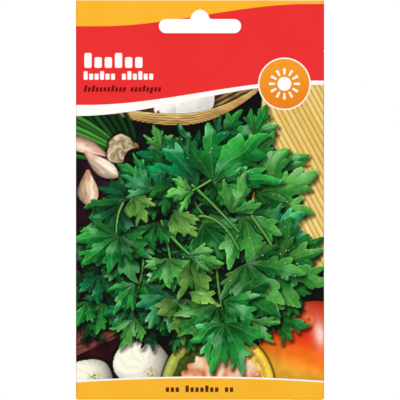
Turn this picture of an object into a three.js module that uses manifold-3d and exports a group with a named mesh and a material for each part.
// A paper seed packet that hangs from a display peg: one sheet folded at both sides and at
// the bottom into an envelope, glued along its flaps and its header, with seeds inside.
// Millimetres. +Z is up, +X is to the right as seen from the front, and the front faces -Y.
// The origin is the top of the hang slot's dome, halfway through the packet's thickness.

import * as THREE from "three";
import { mergeVertices } from "three/addons/utils/BufferGeometryUtils.js";
import Module from "manifold-3d";

const wasm = await Module();
wasm.setup();

// ---------------------------------------------------------------- driving dimensions

const packetWidth = 96.5;
const packetHeight = 155.5;
const paperThickness = 0.15;
const glueGap = 0.06; // between two glued plies, which the glue fills
const glueClearance = 0.01; // on each side of a layer of glue

const slotAboveDome = 3.8; // paper left between the slot's dome and the top edge
const slotWidth = 32;
const slotHeight = 5.5;
const domeRadius = 3.6;
const domeFillet = 1; // where the dome runs into the slot
const glueSlotMargin = 0.4; // the glue keeps this far back from the slot

const headerDepth = 20; // flat band at the top, above the pouch
const swell = 1.6; // how far each panel bows out where the pouch is fullest
const swellSkew = 1.6; // above 1 puts the fullest place below the middle

const sideFlapWidth = 12;
const bottomFlapHeight = 14;
const bottomFlapTaper = 4; // how much each end of the bottom flap slopes in
const edgeRelief = 1; // a ply that lies inside a crease stops this short of it
const cornerRelief = 0.3; // the bottom flap starts this far inside the two side creases
const headerNotch = 0.5; // height of the step where the right crease gives way to the header
const glueMargin = 1; // glue stops this far inside the edge of its flap
const overlapRamp = 1.4; // width over which the bottom flap climbs onto the side flap

const seedClearance = 0.15; // between the seeds and the paper
const seedEdge = 0.5; // the pouch's half depth where the seeds begin
const seedLevel = 64; // height of the seeds above the bottom crease, at the middle
const seedSlump = 5; // how far the seeds' level drops towards the sides

const longestStepAcross = 8;
const longestStepDown = 8;
const creaseSteps = 4;

const paperColor = 0xf7f6f2;
const glueColor = 0xe8e2cf;
const seedColor = 0x8a7650;

// ---------------------------------------------------------------- where things come

// Half distances from the middle plane to the faces of the two panels at the header.
const innerFace = glueGap / 2;
const outerFace = innerFace + paperThickness;
const plyPitch = paperThickness + glueGap; // from one glued ply to the next

// The left crease turns from the front panel to the back panel. The right crease and the
// bottom crease turn round the back panel as well, so they are twice as wide.
const leftBend = plyPitch / 2;
const wideBend = plyPitch;
const bottomBend = wideBend * 1.5; // the bottom flap also climbs over the side flap

const topZ = slotAboveDome;
const bottomZ = topZ - packetHeight;
const leftX = -packetWidth / 2 + leftBend + paperThickness / 2;
const rightX = packetWidth / 2 - wideBend - paperThickness / 2;
const foldZ = bottomZ + bottomBend + paperThickness / 2;

const swellTopZ = topZ - headerDepth;
const backEdgeX = rightX - edgeRelief;
const backEdgeZ = foldZ + edgeRelief;
const sideFlapX = packetWidth / 2 - sideFlapWidth;
const bottomFlapZ = bottomZ + bottomFlapHeight;
const bottomFlapLeftX = leftX + cornerRelief;
const bottomFlapRightX = rightX - cornerRelief;
const rampStartX = sideFlapX - overlapRamp;
const rampEndX = sideFlapX - 0.1;

const slotTopZ = -domeRadius;
const slotBottomZ = slotTopZ - slotHeight;

// Numbers from the first to the last of `fixed`, holding each of them, in steps of at most
// `step`. Every ply and every layer of glue is built on the same lines, so that their facets
// lie parallel and never touch.
function linesThrough(fixed, step) {
  const sorted = [...new Set(fixed)].sort((a, b) => a - b);
  const lines = [sorted[0]];
  for (let i = 1; i < sorted.length; i += 1) {
    const from = sorted[i - 1];
    const span = sorted[i] - from;
    const count = Math.ceil(span / step);
    for (let k = 1; k <= count; k += 1) {
      lines.push(k === count ? sorted[i] : from + (span * k) / count);
    }
  }
  return lines;
}

const across = linesThrough(
  [
    leftX,
    bottomFlapLeftX,
    bottomFlapLeftX + bottomFlapTaper + glueMargin,
    rampStartX,
    rampEndX,
    sideFlapX,
    sideFlapX + glueMargin,
    backEdgeX - glueMargin,
    backEdgeX,
    bottomFlapRightX,
    rightX,
  ],
  longestStepAcross,
);

const down = linesThrough(
  [
    topZ,
    swellTopZ + headerNotch,
    swellTopZ,
    swellTopZ - glueMargin,
    bottomFlapZ,
    bottomFlapZ - glueMargin,
    backEdgeZ + glueMargin,
    backEdgeZ,
    foldZ,
  ],
  longestStepDown,
).reverse();

// ---------------------------------------------------------------- the pouch's shape

// How fully the pouch is swollen at a height, from 0 at the header to 1 and back to 0.
function fullnessAt(z) {
  const along = (swellTopZ - z) / (swellTopZ - foldZ);
  const clamped = Math.min(Math.max(along, 0), 1);
  return Math.sin(Math.PI * clamped ** swellSkew);
}

// How far each panel bows away from the middle plane.
function bowAt(x, z) {
  const along = (x - leftX) / (rightX - leftX);
  const clamped = Math.min(Math.max(along, 0), 1);
  return swell * Math.sin(Math.PI * clamped) * Math.max(fullnessAt(z), 0);
}

// How far the bottom flap has climbed from the back panel onto the side flap.
function climbAt(x) {
  const along = (x - rampStartX) / (rampEndX - rampStartX);
  return plyPitch * Math.min(Math.max(along, 0), 1);
}

// Faces of each ply, inner and outer, as distances along Y.
const frontPly = (x, z) => {
  const inner = -(innerFace + bowAt(x, z));
  return { inner, outer: inner - paperThickness };
};
const backPly = (x, z) => {
  const inner = innerFace + bowAt(x, z);
  return { inner, outer: inner + paperThickness };
};
const sideFlapPly = (x, z) => {
  const inner = innerFace + bowAt(x, z) + plyPitch;
  return { inner, outer: inner + paperThickness };
};
const bottomFlapPly = (x, z) => {
  const inner = innerFace + bowAt(x, z) + plyPitch + climbAt(x);
  return { inner, outer: inner + paperThickness };
};

// ---------------------------------------------------------------- building a thin body

// Makes one closed body from a patch of cells. cells is a list of {i, j, turned}; corner(i, j)
// gives {inner, outer}, the two points of a lattice corner. Each cell gets a quad on either
// face, and every edge that only one cell has gets a strip between the faces. `turned` cells
// are split along their other diagonal.
function thinBody(cells, corner) {
  const positions = [];
  const triangles = [];
  const numbers = new Map();
  const edges = new Map();

  const numberOf = (i, j, side) => {
    const key = `${i},${j},${side}`;
    if (!numbers.has(key)) {
      numbers.set(key, positions.length / 3);
      positions.push(...corner(i, j)[side]);
    }
    return numbers.get(key);
  };
  const quad = (a, b, c, d, turned) => {
    if (turned) {
      triangles.push(a, b, d, b, c, d);
    } else {
      triangles.push(a, b, c, a, c, d);
    }
  };

  for (const { i, j, turned } of cells) {
    const ring = [
      [i, j],
      [i, j + 1],
      [i + 1, j + 1],
      [i + 1, j],
    ];
    const outer = ring.map(([a, b]) => numberOf(a, b, "outer"));
    const inner = ring.map(([a, b]) => numberOf(a, b, "inner"));
    quad(outer[0], outer[1], outer[2], outer[3], turned);
    quad(inner[0], inner[3], inner[2], inner[1], turned);
    for (let k = 0; k < 4; k += 1) {
      const from = ring[k];
      const to = ring[(k + 1) % 4];
      const back = `${to}|${from}`;
      if (edges.has(back)) {
        edges.delete(back);
      } else {
        edges.set(`${from}|${to}`, [from, to]);
      }
    }
  }

  for (const [from, to] of edges.values()) {
    const outerFrom = numberOf(...from, "outer");
    const outerTo = numberOf(...to, "outer");
    const innerFrom = numberOf(...from, "inner");
    const innerTo = numberOf(...to, "inner");
    triangles.push(outerTo, outerFrom, innerFrom, outerTo, innerFrom, innerTo);
  }

  const geometry = new THREE.BufferGeometry();
  geometry.setAttribute("position", new THREE.Float32BufferAttribute(positions, 3));
  geometry.setIndex(triangles);
  geometry.computeVertexNormals();
  return geometry;
}

// A thin body on the shared lines, between two surfaces given as functions of x and z. front
// is the one nearer the front of the packet.
function layerBetween(columns, rows, front, back, shiftX = (x) => x) {
  const cells = [];
  for (let i = 0; i + 1 < columns.length; i += 1) {
    for (let j = 0; j + 1 < rows.length; j += 1) {
      cells.push({ i, j, turned: false });
    }
  }
  return thinBody(cells, (i, j) => {
    const z = rows[j];
    const x = shiftX(columns[i], z);
    return { outer: [x, front(x, z), z], inner: [x, back(x, z), z] };
  });
}

// ---------------------------------------------------------------- booleans

function solidFrom(geometry) {
  const bare = geometry.clone();
  bare.deleteAttribute("normal");
  bare.deleteAttribute("uv");
  const merged = mergeVertices(bare, 1e-4);
  return new wasm.Manifold(
    new wasm.Mesh({
      numProp: 3,
      vertProperties: merged.attributes.position.array,
      triVerts: new Uint32Array(merged.index.array),
    }),
  );
}

function geometryFrom(solid) {
  const mesh = solid.getMesh();
  const geometry = new THREE.BufferGeometry();
  geometry.setAttribute("position", new THREE.BufferAttribute(mesh.vertProperties, 3));
  geometry.setIndex(new THREE.BufferAttribute(mesh.triVerts, 1));
  geometry.computeVertexNormals();
  return geometry;
}

// ---------------------------------------------------------------- the hang slot

// The slot's outline, `grow` larger all round: a long slot with round ends, and a dome in the
// middle of its upper edge that a peg centres itself in. Y of the outline is the packet's Z.
function slotOutline(grow) {
  const endRadius = slotHeight / 2 + grow;
  const middleZ = (slotTopZ + slotBottomZ) / 2;
  const endX = (slotWidth - slotHeight) / 2;
  const dome = domeRadius + grow;
  const fillet = domeFillet - grow / 2;
  const edgeZ = slotTopZ + grow;
  const reach = dome + fillet;
  // The fillet's centre is as high above the edge as its radius, and touches the dome.
  const rise = fillet + grow;
  const filletX = Math.sqrt(reach ** 2 - rise ** 2);
  const meeting = Math.atan2(rise, filletX);

  const outline = new THREE.Path();
  outline.moveTo(-endX, middleZ - endRadius);
  outline.lineTo(endX, middleZ - endRadius);
  outline.absarc(endX, middleZ, endRadius, -Math.PI / 2, Math.PI / 2, false);
  outline.lineTo(filletX, edgeZ);
  outline.absarc(filletX, edgeZ + fillet, fillet, -Math.PI / 2, -Math.PI + meeting, true);
  outline.absarc(0, slotTopZ, dome, meeting, Math.PI - meeting, false);
  outline.absarc(-filletX, edgeZ + fillet, fillet, -meeting, -Math.PI / 2, true);
  outline.lineTo(-endX, edgeZ);
  outline.absarc(-endX, middleZ, endRadius, Math.PI / 2, (3 * Math.PI) / 2, false);
  return outline;
}

function outlinePoints(path) {
  const points = path.getPoints(8);
  return points.filter((point, n) => n === 0 || point.distanceTo(points[n - 1]) > 1e-3);
}

// A punch of the slot's shape, long enough to go through every ply.
function slotPunch() {
  const shape = new THREE.Shape(outlinePoints(slotOutline(0)));
  const punch = new THREE.ExtrudeGeometry(shape, { depth: 4, bevelEnabled: false });
  punch.translate(0, 0, -2);
  punch.rotateX(Math.PI / 2);
  return punch;
}

// ---------------------------------------------------------------- the folded sheet

// The sheet's columns in order along the flat paper: the back panel from its free edge to the
// left crease, the front panel, the right crease, then the side flap. Each column says how to
// place its two faces at a height.
function sheetColumns() {
  const columns = [];
  const frontY = -(innerFace + paperThickness / 2);

  const crease = (x, side, bend, first, last) => {
    const centreY = frontY + bend;
    for (let k = first; k <= last; k += 1) {
      const angle = (Math.PI * k) / creaseSteps;
      const place = (radius) => [
        x + side * radius * Math.sin(angle),
        centreY - radius * Math.cos(angle),
      ];
      const outer = place(bend + paperThickness / 2);
      const inner = place(bend - paperThickness / 2);
      columns.push({ part: "crease", at: (z) => ({ outer: [...outer, z], inner: [...inner, z] }) });
    }
  };
  const panel = (lines, ply, part, direction) => {
    for (const x of lines) {
      const at = (z) => {
        const { inner, outer } = ply(x, z);
        return { outer: [x, outer, z], inner: [x, inner, z] };
      };
      columns.push({ part, x, at, direction });
    }
  };

  const backLines = across.filter((x) => x <= backEdgeX).reverse();
  const flapLines = across.filter((x) => x >= sideFlapX).reverse();
  panel(backLines, backPly, "back", -1);
  for (let k = creaseSteps - 1; k >= 1; k -= 1) {
    crease(leftX, -1, leftBend, k, k);
  }
  panel(across.slice(0, -1), frontPly, "front", 1);
  // Above the right crease the front panel's cut edge stands as far out as the crease does.
  columns.push({
    part: "front",
    x: rightX,
    direction: 1,
    at: (z) => {
      const x = z > swellTopZ + 1e-9 ? packetWidth / 2 : rightX;
      const { inner, outer } = frontPly(rightX, z);
      return { outer: [x, outer, z], inner: [x, inner, z] };
    },
  });
  crease(rightX, 1, wideBend, 1, creaseSteps - 1);
  panel(flapLines, sideFlapPly, "flap", -1);
  return columns;
}

// The bottom flap's rows go on from the front panel's last row: round the bottom crease, then
// up the back.
function bottomRows() {
  const rows = [];
  const frontY = -(innerFace + paperThickness / 2);
  for (let k = 1; k < creaseSteps; k += 1) {
    const angle = (Math.PI * k) / creaseSteps;
    rows.push((x) => {
      const bend = wideBend + climbAt(x) / 2;
      const centreY = frontY + bend;
      const place = (radius) => [
        x,
        centreY - radius * Math.cos(angle),
        foldZ - radius * Math.sin(angle),
      ];
      return {
        outer: place(bend + paperThickness / 2),
        inner: place(bend - paperThickness / 2),
      };
    });
  }
  const lines = down.filter((z) => z <= bottomFlapZ).reverse();
  for (const z of lines) {
    rows.push((x) => {
      const leaning = taperedX(x, z);
      const { inner, outer } = bottomFlapPly(leaning, z);
      return { outer: [leaning, outer, z], inner: [leaning, inner, z] };
    });
  }
  return rows;
}

// The bottom flap's end columns lean in with height, so the flap narrows to its free edge.
function taperedX(x, z) {
  const lean = (bottomFlapTaper * (z - foldZ)) / (bottomFlapZ - foldZ);
  if (Math.abs(x - bottomFlapLeftX) < 1e-9) {
    return x + lean;
  }
  if (Math.abs(x - bottomFlapRightX) < 1e-9) {
    return x - Math.min(lean, cornerRelief);
  }
  return x;
}

function foldedSheet() {
  const columns = sheetColumns();
  const lower = bottomRows();
  const lastRow = down.length - 1;
  const rightCreaseStart = columns.findLastIndex((column) => column.part === "front");
  const cells = [];

  const corner = (i, j) => {
    if (j <= lastRow) {
      return columns[i].at(down[j]);
    }
    return lower[j - lastRow - 1](columns[i].x);
  };

  for (let i = 0; i + 1 < columns.length; i += 1) {
    const pair = [columns[i], columns[i + 1]];
    const parts = pair.map((column) => column.part);
    const isFront = parts.every((part) => part === "front");
    const isPanelBehind = parts.every((part) => part === "back" || part === "flap");
    const isRightSide = i >= rightCreaseStart;
    const mirrored = pair.some((column) => column.direction === -1);

    for (let j = 0; j < lastRow; j += 1) {
      const low = down[j + 1];
      const high = down[j];
      // The back panel and the side flap stop short of the bottom crease.
      if (isPanelBehind && low < backEdgeZ - 1e-9) {
        continue;
      }
      // The side flap and its crease start below the header.
      if (isRightSide && high > swellTopZ + 1e-9) {
        continue;
      }
      cells.push({ i, j, turned: mirrored });
    }

    const inBottomFlap = isFront
      && pair[0].x > bottomFlapLeftX - 1e-9
      && pair[1].x < bottomFlapRightX + 1e-9;
    if (inBottomFlap) {
      for (let j = lastRow; j < lastRow + lower.length; j += 1) {
        cells.push({ i, j, turned: true });
      }
    }
  }

  const flatWork = thinBody(cells, corner);
  const cut = solidFrom(flatWork).subtract(solidFrom(slotPunch()));
  return geometryFrom(cut);
}

// ---------------------------------------------------------------- glue and seeds

// The side seam: a strip between the back panel and the side flap.
function sideSeamGlue() {
  const columns = across.filter(
    (x) => x >= sideFlapX + glueMargin - 1e-9 && x <= backEdgeX - glueMargin + 1e-9,
  );
  const rows = down.filter(
    (z) => z <= swellTopZ - glueMargin + 1e-9 && z >= backEdgeZ + glueMargin - 1e-9,
  );
  return layerBetween(
    columns,
    rows,
    (x, z) => backPly(x, z).outer + glueClearance,
    (x, z) => sideFlapPly(x, z).inner - glueClearance,
  );
}

// The bottom seam: under the bottom flap, across the back panel and over the side flap.
function bottomFlapGlue() {
  const columns = across.filter(
    (x) =>
      x >= bottomFlapLeftX + bottomFlapTaper + glueMargin - 1e-9
      && x <= backEdgeX - glueMargin + 1e-9,
  );
  const rows = down.filter(
    (z) => z <= bottomFlapZ - glueMargin + 1e-9 && z >= backEdgeZ + glueMargin - 1e-9,
  );
  const under = (x, z) => bottomFlapPly(x, z).inner - glueClearance;
  return layerBetween(
    columns,
    rows,
    (x, z) => under(x, z) - (glueGap - 2 * glueClearance),
    under,
  );
}

// The header's seal: a plate between the two panels, punched with the slot a little larger.
function headerGlue() {
  const left = leftX + glueMargin;
  const right = backEdgeX - glueMargin;
  const top = topZ - glueMargin;
  const bottom = swellTopZ + glueMargin;
  const plate = new THREE.Shape();
  plate.moveTo(left, bottom);
  plate.lineTo(right, bottom);
  plate.lineTo(right, top);
  plate.lineTo(left, top);
  plate.closePath();
  plate.holes.push(new THREE.Path(outlinePoints(slotOutline(glueSlotMargin))));
  const depth = glueGap - 2 * glueClearance;
  const geometry = new THREE.ExtrudeGeometry(plate, { depth, bevelEnabled: false });
  geometry.translate(0, 0, -depth / 2);
  geometry.rotateX(Math.PI / 2);
  return geometry;
}

// The seeds, settled low in the pouch: a heap that fills it from panel to panel, and stops
// where the pouch grows thin at its sides and its bottom.
function seedFill() {
  const rowCount = 12;
  const columnCount = 12;
  const shareAtEdge = seedEdge / swell;
  const heapTopZ = foldZ + seedLevel;

  // Half the heap's width at a height, as a share of the pouch's width.
  const startAt = (z) => {
    const share = Math.min(shareAtEdge / Math.max(fullnessAt(z), shareAtEdge), 1);
    return Math.asin(share) / Math.PI;
  };
  // The heap's foot is where the pouch has grown to half as deep again as at its edge.
  let footZ = foldZ;
  while (fullnessAt(footZ) < 1.5 * shareAtEdge) {
    footZ += 0.25;
  }

  const cells = [];
  for (let i = 0; i < columnCount; i += 1) {
    for (let j = 0; j < rowCount; j += 1) {
      cells.push({ i, j, turned: false });
    }
  }
  return thinBody(cells, (i, j) => {
    const upRatio = 1 - j / rowCount;
    const levelZ = footZ + (heapTopZ - footZ) * upRatio;
    const start = startAt(levelZ);
    const share = start + (1 - 2 * start) * (i / columnCount);
    const x = leftX + (rightX - leftX) * share;
    const z = levelZ - seedSlump * upRatio * (2 * share - 1) ** 2;
    const half = innerFace + bowAt(x, z) - seedClearance;
    return { outer: [x, -half, z], inner: [x, half, z] };
  });
}

// ---------------------------------------------------------------- the assembly

function meshOf(name, geometry, color, roughness) {
  const material = new THREE.MeshStandardMaterial({ color, roughness, metalness: 0 });
  const mesh = new THREE.Mesh(geometry, material);
  mesh.name = name;
  return mesh;
}

const packet = new THREE.Group();
packet.name = "seed_packet";
packet.add(meshOf("folded_sheet", foldedSheet(), paperColor, 0.35));
packet.add(meshOf("header_glue", headerGlue(), glueColor, 0.5));
packet.add(meshOf("side_seam_glue", sideSeamGlue(), glueColor, 0.5));
packet.add(meshOf("bottom_flap_glue", bottomFlapGlue(), glueColor, 0.5));
packet.add(meshOf("seed_fill", seedFill(), seedColor, 0.9));

export default packet;
